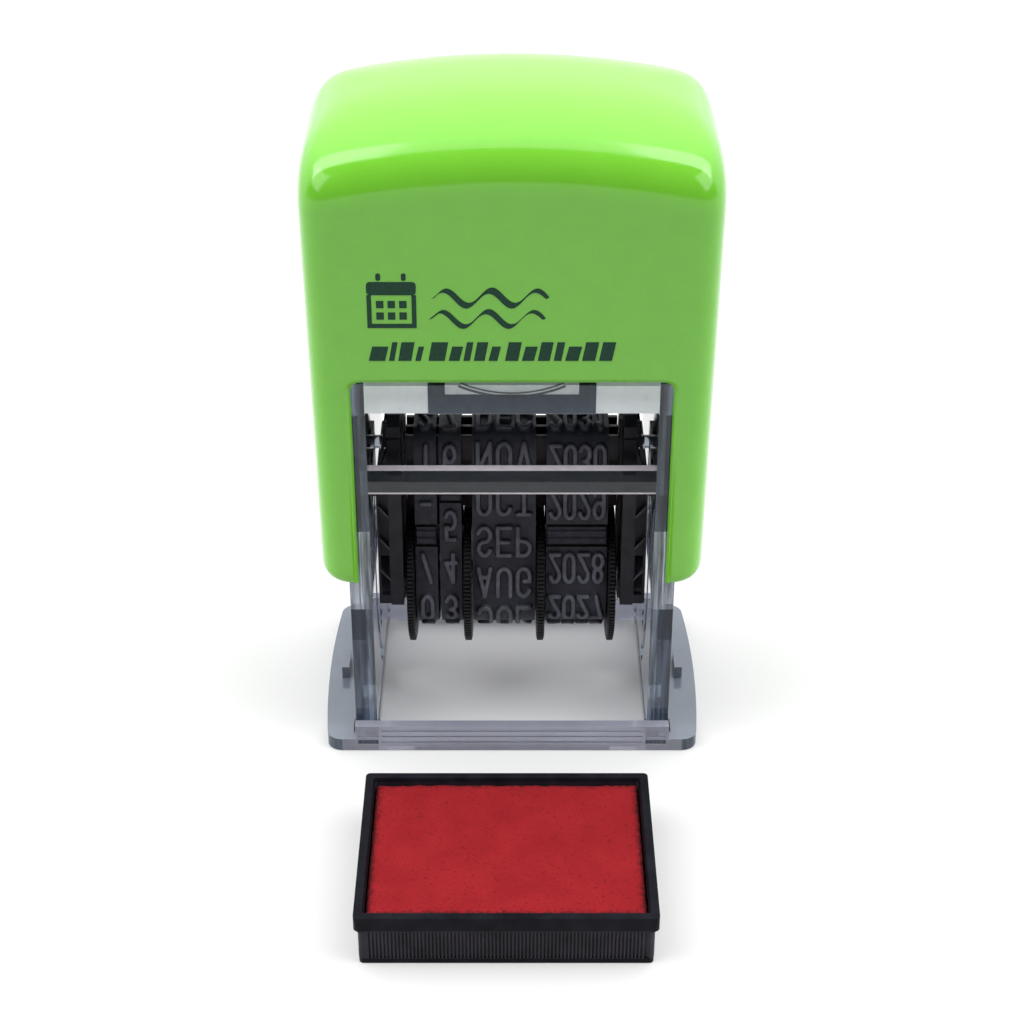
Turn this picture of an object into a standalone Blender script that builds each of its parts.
"""A pocket self-inking date stamp with its ink pad taken out and lying in front of it.

Pressing the cover down against its spring turns the band carrier over between the side walls, so
that the type, which rests on the ink pad at the top, lands on the paper at the bottom.

Lengths below are in millimetres, and MM turns them into Blender's metres. X runs to the right of
the person stamping, Y away from them and Z up. Every piece is drawn around the middle of the base,
and the whole assembly is then moved back, so that the origin is the middle of the front rail's
underside.
"""

import math

import bmesh
import bpy
from mathutils import Vector

MM = 0.001
GAP = 0.3  # between pieces that sit against each other
RUNNING_GAP = 0.15  # between a turning piece and its neighbour

# Base: a thin plate with two rails, open in the middle for the type to reach the paper.
BASE_WIDTH = 39.2
BASE_DEPTH = 25.0
BASE_BULGE = 0.5  # how far each long side swells past its corners
BASE_CORNER = 1.6
PLATE_THICK = 1.4
RAIL_HEIGHT = 3.0
RAIL_HALF_X = 16.1
OPENING_HALF_X = 13.8
OPENING_HALF_Y = 11.4
SOCKET_FLOOR = 0.6
CATCH_X = (17.4, 18.2)
CATCH_HALF_Y = 1.7
CATCH_TOP = 2.8

# Guide frame: two slotted side walls joined by ledges, a deck and two short front and back walls.
WALL_X = (13.9, 15.3)
COLUMN_X = (13.9, 16.1)
COLUMN_Y = (9.3, 10.9)
COLUMN_FOOT = SOCKET_FLOOR + GAP
FRAME_HALF_Y = COLUMN_Y[1]
FRAME_TOP = 41.7
STEP = 0.1  # where one moulded face stands back from the next
LEDGE_Y = (7.6, FRAME_HALF_Y - STEP)
LEDGE_Z = (29.7, 31.1)
DECK_Z = (38.45, 40.4)
SCREEN_Y = (9.9, FRAME_HALF_Y - STEP)  # the short walls above the deck
SCREEN_Z = (DECK_Z[0] + 2 * STEP, FRAME_TOP - 2 * STEP)
RIM_X = (6.3, 7.9)
RIM_Y = (9.1, FRAME_HALF_Y)
RIM_Z = (DECK_Z[0] + STEP, FRAME_TOP - STEP)
NOTCH_FLOOR = DECK_Z[1] + 2 * STEP

# Kinematics: the carrier turns half a turn while the cover travels STROKE.
AXLE_Z = 24.5
STROKE = 16.1
TYPE_FACE_Z = 2 * AXLE_Z - STROKE  # lands on the table when the cover is down
TRUNNION_RADIUS = 1.2
PIN_RADIUS = 0.7
PIN_ARM = 5.0  # the follower pin above the trunnion

# Cover: a domed cap with two legs.
COVER_HALF_X = 19.55  # at the shoulder
COVER_LEG_HALF_X = 19.05  # at the bottom of the legs
COVER_HALF_Y = 12.4
INSIDE_HALF_X = 17.9
INSIDE_HALF_Y = 11.2
COVER_BOTTOM = 20.2
COVER_SHOULDER = 62.3  # where the crown starts, in the middle of the front
COVER_RISE = 6.1  # from the shoulder to the top of the crown
COVER_ARCH = 2.4  # how much lower the crown is at its two sides than in the middle
CROWN_POWER_X = 5.0  # the crown is a superellipse seen from the front, and another from the side
CROWN_POWER_Y = 2.5
COVER_SQUARENESS = (3.0, 5.0)  # of the outline seen from above, outside and inside
WINDOW_HALF_X = 15.1
WINDOW_TOP = 42.4
WINDOW_CORNER = 1.0
BOSS_RADIUS = 2.6
BOSS_FACE_X = 15.6

# Spring between the deck and the cover.
SPRING_RADIUS = 6.5
SPRING_WIRE = 0.42
SPRING_TURNS = 6.5
SPRING_Z = (DECK_Z[1] + GAP + SPRING_WIRE, 63.5)
SEAT_RADII = (5.9, 7.4)
SEAT_TOP = 66.9  # inside the crown's wall

# Band wheels and the four bands on them.
WHEEL_Z = 14.4
WHEEL_RADIUS = 7.6
TOOTH_DEPTH = 0.3
TEETH = 56
DRUM_RADIUS = 4.5
AXLE_RADIUS = 1.15
BAND_CORE = 0.7
TYPE_HEIGHT = 0.5
BAND_INNER_RADIUS = 4.7
HEAD_HALF_Y = 2.2  # centres of the two small turns at the type end
HEAD_RADIUS = 0.6
TYPE_POSITIONS = 13
TYPE_LENGTH = 3.6
# Each band: its X range, then the X range of its toothed disc.
BANDS = {
    "tens": ((-9.8, -7.55), (-10.85, -9.95)),
    "units": ((-7.3, -5.1), (-4.95, -4.15)),
    "month": ((-4.0, 2.4), (2.55, 3.3)),
    "year": ((3.45, 9.65), (9.8, 10.7)),
}

# Carrier: two cheeks tied by a bridge under the type, two bars and the wheel axle.
CHEEK_X = (11.0, 12.3)
LATTICE_X = 13.5
CHEEK_HALF_Y = 6.6
CHEEK_TOP_HALF_Y = 5.0
CHEEK_Z = (14.1, 32.5)
CHEEK_SHOULDER_Z = 27.5
AXLE_LOBE = 3.2
LATTICE_TOP_Z = 28.6
RIB = 0.9
RIB_LAP = 0.2  # how far the ribs run into the cheek's plate
PIN_PAD_RADIUS = 1.9  # a round pad behind the trunnion
PIN_PAD_OFFSET = 0.4
GUSSET_Y = 4.2
GUSSET_DROP = 1.6
BRIDGE_HALF_Y = 2.3
BRIDGE_Z = (28.6, 31.35)
TIE_HALF = 0.6
TIE_Y = 2.2
TIE_Z = 25.4

# Ink pad cartridge, lying in front of the stamp.
TRAY_SIZE = (27.4, 20.8, 5.6)
TRAY_BODY_INSET = 0.35
TRAY_FLANGE = 1.5
TRAY_RIM = 0.9
TRAY_FLOOR = 1.2
PAD_X = -0.5
PAD_FRONT_Y = -44.2
FELT_BELOW_RIM = 0.5

WHOLE_TURN = 2 * math.pi


def clear_scene():
    for obj in list(bpy.data.objects):
        bpy.data.objects.remove(obj, do_unlink=True)


# ---------------------------------------------------------------- shapes


def make_object(name, mesh_builder):
    """An object from a bmesh whose points are in millimetres."""
    bmesh.ops.recalc_face_normals(mesh_builder, faces=mesh_builder.faces[:])
    bmesh.ops.scale(mesh_builder, vec=(MM, MM, MM), verts=mesh_builder.verts[:])
    mesh = bpy.data.meshes.new(name)
    mesh_builder.to_mesh(mesh)
    mesh_builder.free()
    obj = bpy.data.objects.new(name, mesh)
    bpy.context.scene.collection.objects.link(obj)
    return obj


def place(axis, u, v, w):
    """The point at height w along the axis, with (u, v) on the other two axes in X, Y, Z order."""
    if axis == "X":
        return (w, u, v)
    if axis == "Y":
        return (u, w, v)
    return (u, v, w)


def slab(name, axis, outlines, low, high):
    """A plate across the axis. The first outline is its edge and any others are holes through it."""
    bm = bmesh.new()
    for outline in outlines:
        ring = [bm.verts.new(place(axis, u, v, low)) for u, v in outline]
        for a, b in zip(ring, ring[1:] + ring[:1]):
            bm.edges.new((a, b))
    bmesh.ops.triangle_fill(bm, edges=bm.edges[:], use_beauty=True)
    grown = bmesh.ops.extrude_face_region(bm, geom=bm.faces[:])
    moved = [item for item in grown["geom"] if isinstance(item, bmesh.types.BMVert)]
    bmesh.ops.translate(bm, vec=place(axis, 0, 0, high - low), verts=moved)
    return make_object(name, bm)


def box(name, low, high):
    corners = [(low[0], low[1]), (high[0], low[1]), (high[0], high[1]), (low[0], high[1])]
    return slab(name, "Z", [corners], low[2], high[2])


def circle(radius, centre=(0.0, 0.0), points=32):
    angles = [WHOLE_TURN * i / points for i in range(points)]
    return [(centre[0] + radius * math.cos(a), centre[1] + radius * math.sin(a)) for a in angles]


def arc(centre, radius, start, end, steps):
    """Points from start to end, in degrees, both ends included."""
    angles = [math.radians(start + (end - start) * i / steps) for i in range(steps + 1)]
    return [(centre[0] + radius * math.cos(a), centre[1] + radius * math.sin(a)) for a in angles]


def rod(name, radius, x_low, x_high, y, z, points=32):
    return slab(name, "X", [circle(radius, (y, z), points)], x_low, x_high)


def helper(obj):
    """Hides a piece that only shapes another one."""
    obj.hide_render = True
    obj.display_type = "WIRE"
    return obj


def combine(target, tool, operation):
    modifier = target.modifiers.new(f"{operation.lower()}_{tool.name}", "BOOLEAN")
    modifier.operation = operation
    modifier.solver = "EXACT"
    modifier.object = helper(tool)


def join(target, *tools):
    for tool in tools:
        combine(target, tool, "UNION")


def cut(target, *tools):
    for tool in tools:
        combine(target, tool, "DIFFERENCE")


def smooth(obj, degrees=35):
    obj.data.shade_smooth()
    obj.data.set_sharp_from_angle(angle=math.radians(degrees))


def both_sides():
    """-1 for the left or front side, +1 for the right or back one, with a word for each."""
    return (("left", -1), ("right", 1))


def ordered(a, b):
    return (min(a, b), max(a, b))


def mirrored_box(name, side, x_range, y_range, z_range):
    x_low, x_high = ordered(side * x_range[0], side * x_range[1])
    return box(name, (x_low, y_range[0], z_range[0]), (x_high, y_range[1], z_range[1]))


# ---------------------------------------------------------------- materials


def material(name, colour, roughness, metallic=0.0, transmission=0.0):
    made = bpy.data.materials.new(name)
    made.use_nodes = True
    shader = made.node_tree.nodes["Principled BSDF"]
    shader.inputs["Base Color"].default_value = (*colour, 1.0)
    shader.inputs["Roughness"].default_value = roughness
    shader.inputs["Metallic"].default_value = metallic
    shader.inputs["Transmission Weight"].default_value = transmission
    return made


def make_materials():
    return {
        "green_plastic": material("green_plastic", (0.25, 0.72, 0.07), 0.2),
        "smoke_plastic": material("smoke_plastic", (0.36, 0.40, 0.47), 0.12, transmission=0.8),
        "black_plastic": material("black_plastic", (0.012, 0.012, 0.015), 0.45),
        "dark_rubber": material("dark_rubber", (0.04, 0.04, 0.047), 0.6),
        "steel": material("steel", (0.6, 0.6, 0.62), 0.25, metallic=1.0),
        "tray_plastic": material("tray_plastic", (0.014, 0.014, 0.02), 0.4),
        "red_felt": material("red_felt", (0.45, 0.015, 0.02), 0.9),
    }


# ---------------------------------------------------------------- base


def base_outline():
    """The plate from above: straight front and back, round corners and gently swollen sides."""
    straight_x = BASE_WIDTH / 2 - BASE_BULGE
    corner_x = straight_x - BASE_CORNER
    corner_y = BASE_DEPTH / 2 - BASE_CORNER
    side_steps = 8
    points = []
    for turn, (sign_x, sign_y) in enumerate(((1, -1), (1, 1), (-1, 1), (-1, -1))):
        start = -90 + 90 * turn
        points += arc((sign_x * corner_x, sign_y * corner_y), BASE_CORNER, start, start + 90, 5)
        if turn in (0, 2):
            for i in range(1, side_steps):
                y = sign_y * corner_y * (1 - 2 * i / side_steps)
                points.append((sign_x * (straight_x + BASE_BULGE * (1 - (y / corner_y) ** 2)), y))
    return points


def make_base_plate():
    base = slab("base_plate", "Z", [base_outline()], 0, PLATE_THICK)
    half_depth = BASE_DEPTH / 2
    for word, side in both_sides():
        y_low, y_high = ordered(side * OPENING_HALF_Y, side * half_depth)
        rail = box(f"rail_{word}", (-RAIL_HALF_X, y_low, 0.4), (RAIL_HALF_X, y_high, RAIL_HEIGHT))
        join(base, rail)
        catch = mirrored_box(
            f"catch_{word}", side, CATCH_X, (-CATCH_HALF_Y, CATCH_HALF_Y), (0.4, CATCH_TOP)
        )
        join(base, catch)
    opening = box(
        "base_opening",
        (-OPENING_HALF_X, -OPENING_HALF_Y, -1),
        (OPENING_HALF_X, OPENING_HALF_Y, RAIL_HEIGHT + 1),
    )
    cut(base, opening)
    for word, side in both_sides():
        for end, front in both_sides():
            y_range = ordered(front * (COLUMN_Y[0] - GAP), front * (COLUMN_Y[1] + GAP))
            x_range = (COLUMN_X[0] - GAP, COLUMN_X[1] + GAP)
            z_range = (SOCKET_FLOOR, PLATE_THICK + 1)
            cut(base, mirrored_box(f"socket_{word}_{end}", side, x_range, y_range, z_range))
    return base


# ---------------------------------------------------------------- guide frame


def turn_at(travel):
    """The carrier's angle once the cover has gone down by travel."""
    return math.pi * travel / STROKE


def pin_place(travel):
    """(y, z) of the follower pin: it swings to the front while the axle goes down."""
    angle = turn_at(travel)
    return (-PIN_ARM * math.sin(angle), AXLE_Z - travel + PIN_ARM * math.cos(angle))


def slot_outline(path, half_width, end_steps=6):
    """The outline that a round pin clears on its way along the path."""
    tangents = [Vector(b) - Vector(a) for a, b in zip(path[:-1], path[1:])]
    tangents = [tangents[0]] + [a + b for a, b in zip(tangents, tangents[1:])] + [tangents[-1]]
    normals = [Vector((-t.y, t.x)).normalized() * half_width for t in tangents]
    left = [tuple(Vector(p) + n) for p, n in zip(path, normals)]
    right = [tuple(Vector(p) - n) for p, n in zip(path, normals)]
    last = math.degrees(math.atan2(normals[-1].y, normals[-1].x))
    first = math.degrees(math.atan2(-normals[0].y, -normals[0].x))
    far_end = arc(path[-1], half_width, last, last - 180, end_steps)[1:-1]
    near_end = arc(path[0], half_width, first, first - 180, end_steps)[1:-1]
    return left + far_end + right[::-1] + near_end


def straight_slot():
    path = [(0.0, AXLE_Z), (0.0, AXLE_Z - STROKE)]
    return slot_outline(path, TRUNNION_RADIUS + RUNNING_GAP)


def cam_slot():
    steps = 20
    path = [pin_place(STROKE * i / steps) for i in range(steps + 1)]
    return slot_outline(path, PIN_RADIUS + RUNNING_GAP)


def make_side_wall(name, side):
    """A wall whose front and back edges are turned outwards, with the two slots through it."""
    inner, outer, flange = WALL_X[0], WALL_X[1], COLUMN_X[1]
    edge = [
        (inner, -FRAME_HALF_Y),
        (flange, -FRAME_HALF_Y),
        (flange, -COLUMN_Y[0]),
        (outer, -COLUMN_Y[0]),
        (outer, COLUMN_Y[0]),
        (flange, COLUMN_Y[0]),
        (flange, FRAME_HALF_Y),
        (inner, FRAME_HALF_Y),
    ]
    outline = [(side * x, y) for x, y in edge]
    wall = slab(name, "Z", [outline], PLATE_THICK + GAP, FRAME_TOP)
    low, high = ordered(side * (WALL_X[0] - 1), side * (COLUMN_X[1] + 1))
    cut(wall, slab(f"{name}_axle_slot", "X", [straight_slot()], low, high))
    cut(wall, slab(f"{name}_cam_slot", "X", [cam_slot()], low, high))
    for end, front in both_sides():
        y_range = ordered(front * (COLUMN_Y[0] + STEP), front * (COLUMN_Y[1] - STEP))
        x_range = (COLUMN_X[0] + STEP, COLUMN_X[1] - STEP)
        z_range = (COLUMN_FOOT, PLATE_THICK + 2 * GAP)
        join(wall, mirrored_box(f"{name}_foot_{end}", side, x_range, y_range, z_range))
    return wall


def make_guide_frame():
    frame = make_side_wall("guide_frame", -1)
    other_wall = make_side_wall("right_wall", 1)
    half_x = WALL_X[0] + GAP
    deck_half_y = FRAME_HALF_Y - 3 * STEP
    low, high = (-half_x, -deck_half_y, DECK_Z[0]), (half_x, deck_half_y, DECK_Z[1])
    join(frame, box("deck", low, high), other_wall)
    for word, side in both_sides():
        y_low, y_high = ordered(side * LEDGE_Y[0], side * LEDGE_Y[1])
        join(frame, box(f"ledge_{word}", (-half_x, y_low, LEDGE_Z[0]), (half_x, y_high, LEDGE_Z[1])))
        y_low, y_high = ordered(side * SCREEN_Y[0], side * SCREEN_Y[1])
        join(frame, box(f"screen_{word}", (-half_x, y_low, SCREEN_Z[0]), (half_x, y_high, SCREEN_Z[1])))
        y_low, y_high = ordered(side * RIM_Y[0], side * RIM_Y[1])
        rim = box(f"rim_{word}", (-RIM_X[1], y_low, RIM_Z[0]), (RIM_X[1], y_high, RIM_Z[1]))
        join(frame, rim)
    notch = box(
        "rim_notch",
        (-RIM_X[0], -FRAME_HALF_Y - 1, NOTCH_FLOOR),
        (RIM_X[0], FRAME_HALF_Y + 1, FRAME_TOP + 1),
    )
    cut(frame, notch)
    return frame


# ---------------------------------------------------------------- cover


def footprint_quarter(squareness):
    """Shares of the half width and half depth round one corner, from the side's middle to the front's."""
    power_x, power_y = CROWN_POWER_X * squareness, CROWN_POWER_Y * squareness
    side = [(y, (1 - y**power_y) ** (1 / power_x)) for y in (0.0, 0.35, 0.6)]
    points = [(x, y) for y, x in side]
    for degrees in range(14, 80, 13):
        angle = math.radians(degrees)
        points.append((math.cos(angle) ** (2 / power_x), math.sin(angle) ** (2 / power_y)))
    front = (0.6, 0.4, 0.2)
    return points + [(x, (1 - x**power_x) ** (1 / power_y)) for x in front]


def footprint(squareness):
    """The whole outline in shares, anticlockwise from the right side's middle, without repeats."""
    quarter = footprint_quarter(squareness)
    front_middle = [(0.0, 1.0)]
    half = quarter + front_middle + [(-x, y) for x, y in quarter[:0:-1]]
    return half + [(-x, -y) for x, y in half]


def crown_height(x_share, y_share, squareness, rise):
    """Height over the shoulder: nothing at the outline, rise in the middle, with a round edge."""
    spread = x_share ** (CROWN_POWER_X * squareness) + y_share ** (CROWN_POWER_Y * squareness)
    return rise * max(0.0, 1 - spread ** (1 / squareness)) ** (1 / CROWN_POWER_Y)


def domed_block(name, half_x, half_y, bottom, bottom_half_x, squareness, ring_count):
    """The cover's outside, or the space inside it."""
    rise = COVER_RISE - (COVER_HALF_Y - half_y)
    outline = footprint(squareness)

    def at(share, x_share, y_share):
        x, y = share * x_share * half_x, share * y_share * half_y
        height = crown_height(abs(share * x_share), abs(share * y_share), squareness, rise)
        return (x, y, COVER_SHOULDER + height - COVER_ARCH * (x / COVER_HALF_X) ** 2)

    bm = bmesh.new()
    rings = [[bm.verts.new((x * bottom_half_x, y * half_y, bottom)) for x, y in outline]]
    for i in range(ring_count):
        share = 1 - (i / ring_count) ** CROWN_POWER_Y
        rings.append([bm.verts.new(at(share, x, y)) for x, y in outline])
    for lower, upper in zip(rings, rings[1:]):
        for i, vert in enumerate(lower):
            after = (i + 1) % len(lower)
            bm.faces.new((vert, lower[after], upper[after], upper[i]))
    bm.faces.new(rings[0][::-1])
    top = bm.verts.new(at(0.0, 0.0, 0.0))
    last = rings[-1]
    for i, vert in enumerate(last):
        bm.faces.new((vert, last[(i + 1) % len(last)], top))
    return make_object(name, bm)


def window_outline():
    corner = WINDOW_HALF_X - WINDOW_CORNER, WINDOW_TOP - WINDOW_CORNER
    right = arc(corner, WINDOW_CORNER, 0, 90, 4)
    left = arc((-corner[0], corner[1]), WINDOW_CORNER, 90, 180, 4)
    floor = COVER_BOTTOM - 5
    return [(WINDOW_HALF_X, floor)] + right + left + [(-WINDOW_HALF_X, floor)]


def make_cover():
    outside = (COVER_HALF_X, COVER_HALF_Y, COVER_BOTTOM, COVER_LEG_HALF_X, COVER_SQUARENESS[0])
    inside = (INSIDE_HALF_X, INSIDE_HALF_Y, COVER_BOTTOM - 5, INSIDE_HALF_X, COVER_SQUARENESS[1])
    cover = domed_block("cover", *outside, ring_count=8)
    cut(cover, domed_block("cover_inside", *inside, ring_count=5))
    reach = COVER_HALF_Y + 5
    cut(cover, slab("window", "Y", [window_outline()], -reach, reach))
    rings = [circle(SEAT_RADII[1]), circle(SEAT_RADII[0])]
    join(cover, slab("spring_seat", "Z", rings, SPRING_Z[1] + GAP + SPRING_WIRE, SEAT_TOP))
    for word, side in both_sides():
        low, high = ordered(side * BOSS_FACE_X, side * (INSIDE_HALF_X + 0.4))
        join(cover, rod(f"boss_{word}", BOSS_RADIUS, low, high, 0, AXLE_Z))
        low, high = ordered(side * (BOSS_FACE_X - 1), side * (INSIDE_HALF_X + 0.1))
        bore = TRUNNION_RADIUS + RUNNING_GAP
        cut(cover, rod(f"boss_bore_{word}", bore, low, high, 0, AXLE_Z, 24))
    smooth(cover)
    return cover


# ---------------------------------------------------------------- spring


def coil_path():
    """Points along the spring, with one closed turn at each end."""
    steps_per_turn = 16
    steps = round(SPRING_TURNS * steps_per_turn)
    closed_rise = 2 * SPRING_WIRE + 0.15
    open_rise = SPRING_Z[1] - SPRING_Z[0] - 2 * closed_rise
    points = []
    for i in range(steps + 1):
        turn = i / steps_per_turn
        if turn <= 1:
            height = closed_rise * turn
        elif turn >= SPRING_TURNS - 1:
            height = closed_rise + open_rise + closed_rise * (turn - SPRING_TURNS + 1)
        else:
            height = closed_rise + open_rise * (turn - 1) / (SPRING_TURNS - 2)
        angle = WHOLE_TURN * turn - math.pi / 2
        x, y = SPRING_RADIUS * math.cos(angle), SPRING_RADIUS * math.sin(angle)
        points.append(Vector((x, y, SPRING_Z[0] + height)))
    return points


def wire(name, points, radius, sides):
    bm = bmesh.new()
    rings = []
    for i, point in enumerate(points):
        ahead = points[min(i + 1, len(points) - 1)] - points[max(i - 1, 0)]
        outward = Vector((point.x, point.y, 0)).normalized()
        upward = ahead.cross(outward).normalized()
        outward = upward.cross(ahead).normalized()
        ring = []
        for k in range(sides):
            angle = WHOLE_TURN * k / sides
            offset = outward * math.cos(angle) + upward * math.sin(angle)
            ring.append(bm.verts.new(point + offset * radius))
        rings.append(ring)
    for first, second in zip(rings, rings[1:]):
        for k in range(sides):
            after = (k + 1) % sides
            bm.faces.new((first[k], first[after], second[after], second[k]))
    bm.faces.new(rings[0][::-1])
    bm.faces.new(rings[-1])
    return make_object(name, bm)


def make_return_spring():
    spring = wire("return_spring", coil_path(), SPRING_WIRE, 6)
    smooth(spring, 70)
    return spring


# ---------------------------------------------------------------- bands


class BandLoop:
    """A band's path in the YZ plane: round its drum at the bottom and over two small turns at the top.

    It starts at the top middle and goes towards the front, down, round the drum and up the back.
    """

    def __init__(self, offset):
        """offset is how far outside the band's inner face the path runs."""
        self.drum = Vector((0.0, WHEEL_Z))
        self.drum_radius = BAND_INNER_RADIUS + offset
        self.head_radius = HEAD_RADIUS + offset
        inner_top = TYPE_FACE_Z - TYPE_HEIGHT - BAND_CORE
        self.head = Vector((-HEAD_HALF_Y, inner_top - HEAD_RADIUS))
        span = self.drum - self.head
        lean = math.asin((self.drum_radius - self.head_radius) / span.length)
        straight_down = math.atan2(span.y, span.x)
        self.normal_angle = straight_down - math.pi / 2 - lean
        self.side = math.sqrt(span.length**2 - (self.drum_radius - self.head_radius) ** 2)
        # From straight up to the side's normal, which points to the front and slightly up.
        self.head_turn = self.wrapped(self.normal_angle - math.pi / 2)
        self.drum_turn = math.pi - self.head_turn

    @staticmethod
    def wrapped(angle):
        return angle % WHOLE_TURN

    def half_length(self):
        head_arc = self.head_radius * self.head_turn
        return HEAD_HALF_Y + head_arc + self.side + self.drum_radius * self.drum_turn

    def half_point(self, distance):
        """(point, outward normal) at this distance along the front half of the path."""
        if distance <= HEAD_HALF_Y:
            return self.head + Vector((HEAD_HALF_Y - distance, self.head_radius)), Vector((0, 1))
        distance -= HEAD_HALF_Y
        if distance <= self.head_radius * self.head_turn:
            angle = math.pi / 2 + distance / self.head_radius
            normal = Vector((math.cos(angle), math.sin(angle)))
            return self.head + normal * self.head_radius, normal
        distance -= self.head_radius * self.head_turn
        normal = Vector((math.cos(self.normal_angle), math.sin(self.normal_angle)))
        if distance <= self.side:
            start = self.head + normal * self.head_radius
            end = self.drum + normal * self.drum_radius
            return start.lerp(end, distance / self.side), normal
        distance -= self.side
        angle = self.normal_angle + distance / self.drum_radius
        normal = Vector((math.cos(angle), math.sin(angle)))
        return self.drum + normal * self.drum_radius, normal

    def point(self, distance):
        half = self.half_length()
        distance %= 2 * half
        if distance <= half:
            return self.half_point(distance)
        point, normal = self.half_point(2 * half - distance)
        return Vector((-point.x, point.y)), Vector((-normal.x, normal.y))


def band_outlines():
    """The band's edge with its raised type blocks, and its plain inner face."""
    core = BandLoop(BAND_CORE)
    pitch = 2 * core.half_length() / TYPE_POSITIONS
    edge = []
    for i in range(TYPE_POSITIONS):
        start = pitch * i - TYPE_LENGTH / 2
        for height, low, length in (
            (TYPE_HEIGHT, start, TYPE_LENGTH),
            (0.0, start + TYPE_LENGTH, pitch - TYPE_LENGTH),
        ):
            steps = 4 if height else 2
            for k in range(steps + 1):
                point, normal = core.point(low + length * k / steps)
                edge.append(tuple(point + normal * height))
    inner = BandLoop(0.0)
    count = 44
    length = 2 * inner.half_length()
    hole = [tuple(inner.point(length * i / count)[0]) for i in range(count)]
    return edge, hole


def make_band(name, x_range):
    band = slab(name, "X", list(band_outlines()), *x_range)
    smooth(band, 30)
    return band


# ---------------------------------------------------------------- wheels


def toothed_outline():
    points = []
    for tooth in range(TEETH):
        for share, depth in ((0.0, TOOTH_DEPTH), (0.3, 0.0), (0.7, 0.0)):
            angle = WHOLE_TURN * (tooth + share) / TEETH
            radius = WHEEL_RADIUS - depth
            points.append((radius * math.cos(angle), WHEEL_Z + radius * math.sin(angle)))
    return points


def make_wheel(name, band_x, disc_x):
    bore = circle(AXLE_RADIUS + RUNNING_GAP, (0, WHEEL_Z), 20)
    wheel = slab(name, "X", [toothed_outline(), bore], *disc_x)
    lap = 0.2
    if disc_x[0] > band_x[1]:
        drum_x = (band_x[0], disc_x[0] + lap)
    else:
        drum_x = (disc_x[1] - lap, band_x[1])
    join(wheel, slab(f"{name}_drum", "X", [circle(DRUM_RADIUS, (0, WHEEL_Z), 28), bore], *drum_x))
    return wheel


# ---------------------------------------------------------------- carrier


def cheek_outline():
    """A cheek from the side: shoulders that narrow to the type end, and a round lobe at the axle."""
    bottom, top = CHEEK_Z
    lobe_start = math.degrees(math.asin((bottom - WHEEL_Z) / AXLE_LOBE))
    lobe = arc((0, WHEEL_Z), AXLE_LOBE, 180 - lobe_start, 360 + lobe_start, 10)
    right = [
        (CHEEK_HALF_Y, bottom),
        (CHEEK_HALF_Y, CHEEK_SHOULDER_Z),
        (CHEEK_TOP_HALF_Y, top),
    ]
    left = [(-y, z) for y, z in right[::-1]]
    return lobe + right + left


def inset_triangle(a, b, c, margin):
    """The triangle with each side moved inwards by margin."""
    a, b, c = Vector(a), Vector(b), Vector(c)
    across_a, across_b, across_c = (b - c).length, (c - a).length, (a - b).length
    around = across_a + across_b + across_c
    middle = (a * across_a + b * across_b + c * across_c) / around
    inner_radius = abs((b - a).cross(c - a)) / around
    return [tuple(middle + (p - middle) * (1 - margin / inner_radius)) for p in (a, b, c)]


def lattice_outlines():
    """A raised frame with crossed ribs, as an outline and four three-cornered holes."""
    low, high = CHEEK_Z[0] + STEP, LATTICE_TOP_Z
    base_y, top_y = CHEEK_HALF_Y - STEP, CHEEK_HALF_Y - 5 * STEP
    corners = [(-base_y, low), (base_y, low), (top_y, high), (-top_y, high)]
    middle = (0.0, low + (high - low) * base_y / (base_y + top_y))
    holes = [
        inset_triangle(corner, corners[(i + 1) % 4], middle, RIB / 2)
        for i, corner in enumerate(corners)
    ]
    return [corners, *holes]


def make_cheek(name, side):
    """A plate with a lattice on its outer face, and the two pins that guide the carrier."""
    bore = circle(AXLE_RADIUS + RUNNING_GAP, (0, WHEEL_Z), 20)
    cheek = slab(name, "X", [cheek_outline(), bore], *ordered(side * CHEEK_X[0], side * CHEEK_X[1]))
    root_x, face_x = CHEEK_X[1] - RIB_LAP, LATTICE_X
    lattice_x = ordered(side * root_x, side * face_x)
    join(cheek, slab(f"{name}_lattice", "X", lattice_outlines(), *lattice_x))
    pad_x = ordered(side * (root_x - STEP), side * (face_x - STEP))
    join(cheek, rod(f"{name}_pad", PIN_PAD_RADIUS, *pad_x, 0, AXLE_Z + PIN_PAD_OFFSET))
    gusset = [
        (side * (root_x - 2 * STEP), CHEEK_Z[1] - STEP),
        (side * (face_x - 2 * STEP), LATTICE_TOP_Z - STEP),
        (side * (root_x - 2 * STEP), LATTICE_TOP_Z - GUSSET_DROP),
    ]
    for end, front in both_sides():
        y_range = ordered(front * (GUSSET_Y - RIB / 2), front * (GUSSET_Y + RIB / 2))
        join(cheek, slab(f"{name}_gusset_{end}", "Y", [gusset], *y_range))
    trunnion_x = ordered(side * CHEEK_X[1], side * (INSIDE_HALF_X - GAP))
    join(cheek, rod(f"{name}_trunnion", TRUNNION_RADIUS, *trunnion_x, 0, AXLE_Z, 24))
    pin_x = ordered(side * CHEEK_X[1], side * (WALL_X[1] - STEP))
    join(cheek, rod(f"{name}_pin", PIN_RADIUS, *pin_x, 0, AXLE_Z + PIN_ARM, 16))
    return cheek


def make_type_bridge():
    """The bar that the bands run over, under the type that prints."""
    half_x = CHEEK_X[0] - GAP
    low, high = BRIDGE_Z
    chamfer = 0.6
    edge = [
        (-BRIDGE_HALF_Y, low),
        (BRIDGE_HALF_Y, low),
        (BRIDGE_HALF_Y, high - chamfer),
        (BRIDGE_HALF_Y - chamfer, high),
        (-BRIDGE_HALF_Y + chamfer, high),
        (-BRIDGE_HALF_Y, high - chamfer),
    ]
    return slab("type_bridge", "X", [edge], -half_x, half_x)


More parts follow.
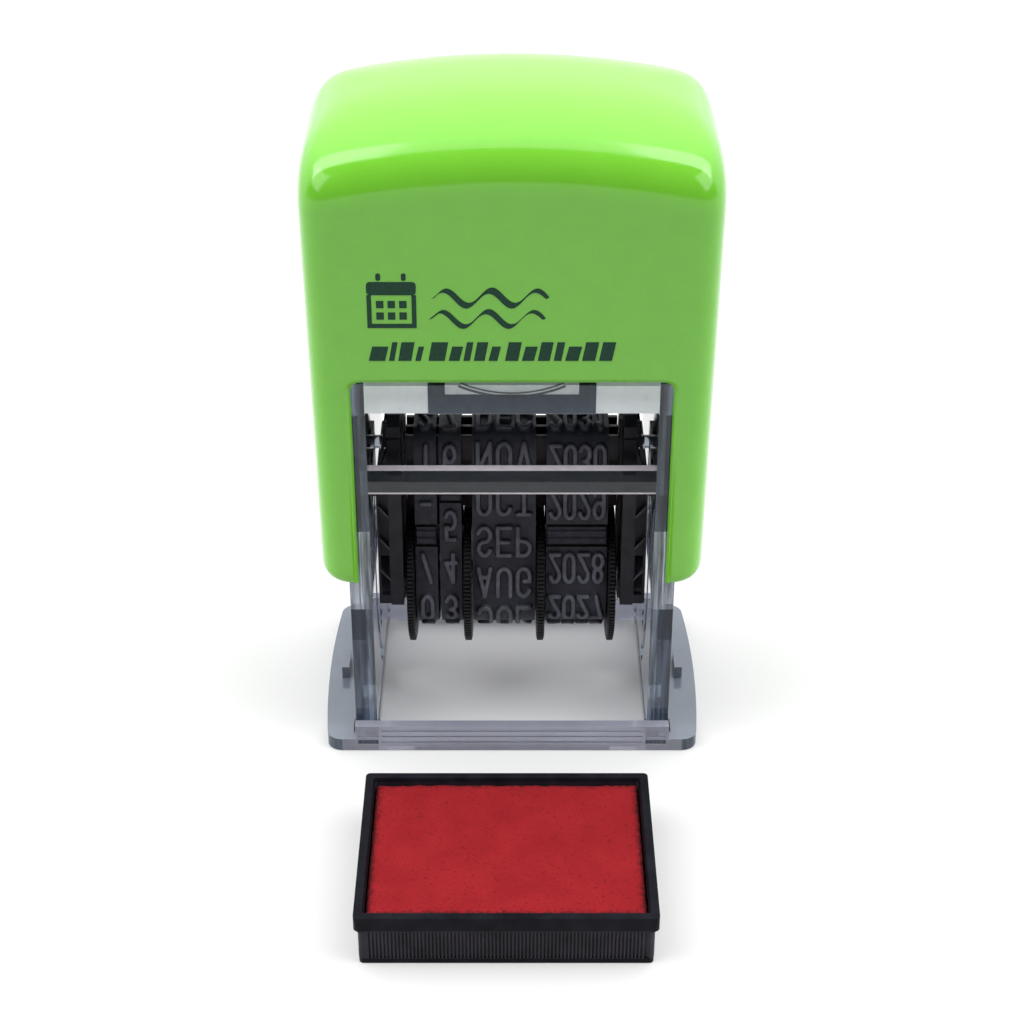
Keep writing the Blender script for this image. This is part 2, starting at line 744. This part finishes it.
def make_tie_bar(name, side):
    half_x = CHEEK_X[0] - GAP
    y = side * TIE_Y
    low = (-half_x, y - TIE_HALF, TIE_Z - TIE_HALF)
    return box(name, low, (half_x, y + TIE_HALF, TIE_Z + TIE_HALF))


def make_wheel_axle():
    half_x = CHEEK_X[1] - RIB_LAP - GAP
    axle = rod("wheel_axle", AXLE_RADIUS, -half_x, half_x, 0, WHEEL_Z, 20)
    smooth(axle)
    return axle


# ---------------------------------------------------------------- ink pad


def make_tray():
    """A shallow tray whose open top has a rim that stands out past the ribbed sides."""
    half_x, depth = TRAY_SIZE[0] / 2, TRAY_SIZE[1]
    back = PAD_FRONT_Y + depth
    inset, height = TRAY_BODY_INSET, TRAY_SIZE[2]
    left, right = PAD_X - half_x, PAD_X + half_x
    tray = box("ink_pad_tray", (left, PAD_FRONT_Y, height - TRAY_FLANGE), (right, back, height))
    body_low = (left + inset, PAD_FRONT_Y + inset, 0)
    join(tray, box("tray_body", body_low, (right - inset, back - inset, height - TRAY_FLANGE / 2)))
    well_low = (left + TRAY_RIM, PAD_FRONT_Y + TRAY_RIM, TRAY_FLOOR)
    cut(tray, box("tray_well", well_low, (right - TRAY_RIM, back - TRAY_RIM, height + 1)))
    return tray


def make_felt():
    half_x, back = TRAY_SIZE[0] / 2, PAD_FRONT_Y + TRAY_SIZE[1]
    edge = TRAY_RIM + RUNNING_GAP
    top = TRAY_SIZE[2] - FELT_BELOW_RIM
    low = (PAD_X - half_x + edge, PAD_FRONT_Y + edge, TRAY_FLOOR + GAP)
    return box("ink_pad_felt", low, (PAD_X + half_x - edge, back - edge, top))


# ---------------------------------------------------------------- assembly


def joint_empty(name, point):
    empty = bpy.data.objects.new(name, None)
    empty.location = Vector(point) * MM
    bpy.context.scene.collection.objects.link(empty)
    return empty


def hang(obj, parent):
    """Parents obj and keeps it where it is."""
    bpy.context.view_layer.update()
    obj.parent = parent
    obj.matrix_parent_inverse = parent.matrix_world.inverted()


def put_origin_under_front_rail():
    """Moves every piece and every helper together, by way of one empty above them all."""
    assembly = joint_empty("assembly", (0, 0, 0))
    for obj in bpy.data.objects:
        if obj.parent is None and obj is not assembly:
            obj.parent = assembly
    assembly.location.y = (OPENING_HALF_Y + BASE_DEPTH / 2) / 2 * MM


def paint(objects, finish):
    for obj in objects:
        obj.data.materials.append(finish)


def main():
    clear_scene()
    finishes = make_materials()
    base, frame, spring, cover = (
        make_base_plate(),
        make_guide_frame(),
        make_return_spring(),
        make_cover(),
    )
    wheels = {word: make_wheel(f"{word}_wheel", *xs) for word, xs in BANDS.items()}
    bands = [make_band(f"{word}_band", xs[0]) for word, xs in BANDS.items()]
    cheeks = [make_cheek(f"{word}_cheek", side) for word, side in both_sides()]
    ties = [make_tie_bar("front_tie_bar", -1), make_tie_bar("rear_tie_bar", 1)]
    bridge, axle = make_type_bridge(), make_wheel_axle()
    tray, felt = make_tray(), make_felt()

    cover_travel = joint_empty("cover_travel", (0, 0, COVER_BOTTOM))
    carrier_axis = joint_empty("carrier_axis", (0, 0, AXLE_Z))
    wheel_axis = joint_empty("wheel_axis", (0, 0, WHEEL_Z))
    pad_travel = joint_empty("pad_travel", (PAD_X, PAD_FRONT_Y, 0))
    hang(carrier_axis, cover_travel)
    hang(wheel_axis, carrier_axis)
    hang(cover, cover_travel)
    for piece in [*cheeks, *bands, *ties, bridge, axle]:
        hang(piece, carrier_axis)
    for wheel in wheels.values():
        hang(wheel, wheel_axis)
    for piece in (tray, felt):
        hang(piece, pad_travel)
    put_origin_under_front_rail()

    paint([base, frame], finishes["smoke_plastic"])
    paint([cover], finishes["green_plastic"])
    paint([*cheeks, *ties, bridge, *wheels.values()], finishes["black_plastic"])
    paint(bands, finishes["dark_rubber"])
    paint([spring, axle], finishes["steel"])
    paint([tray], finishes["tray_plastic"])
    paint([felt], finishes["red_felt"])


main()
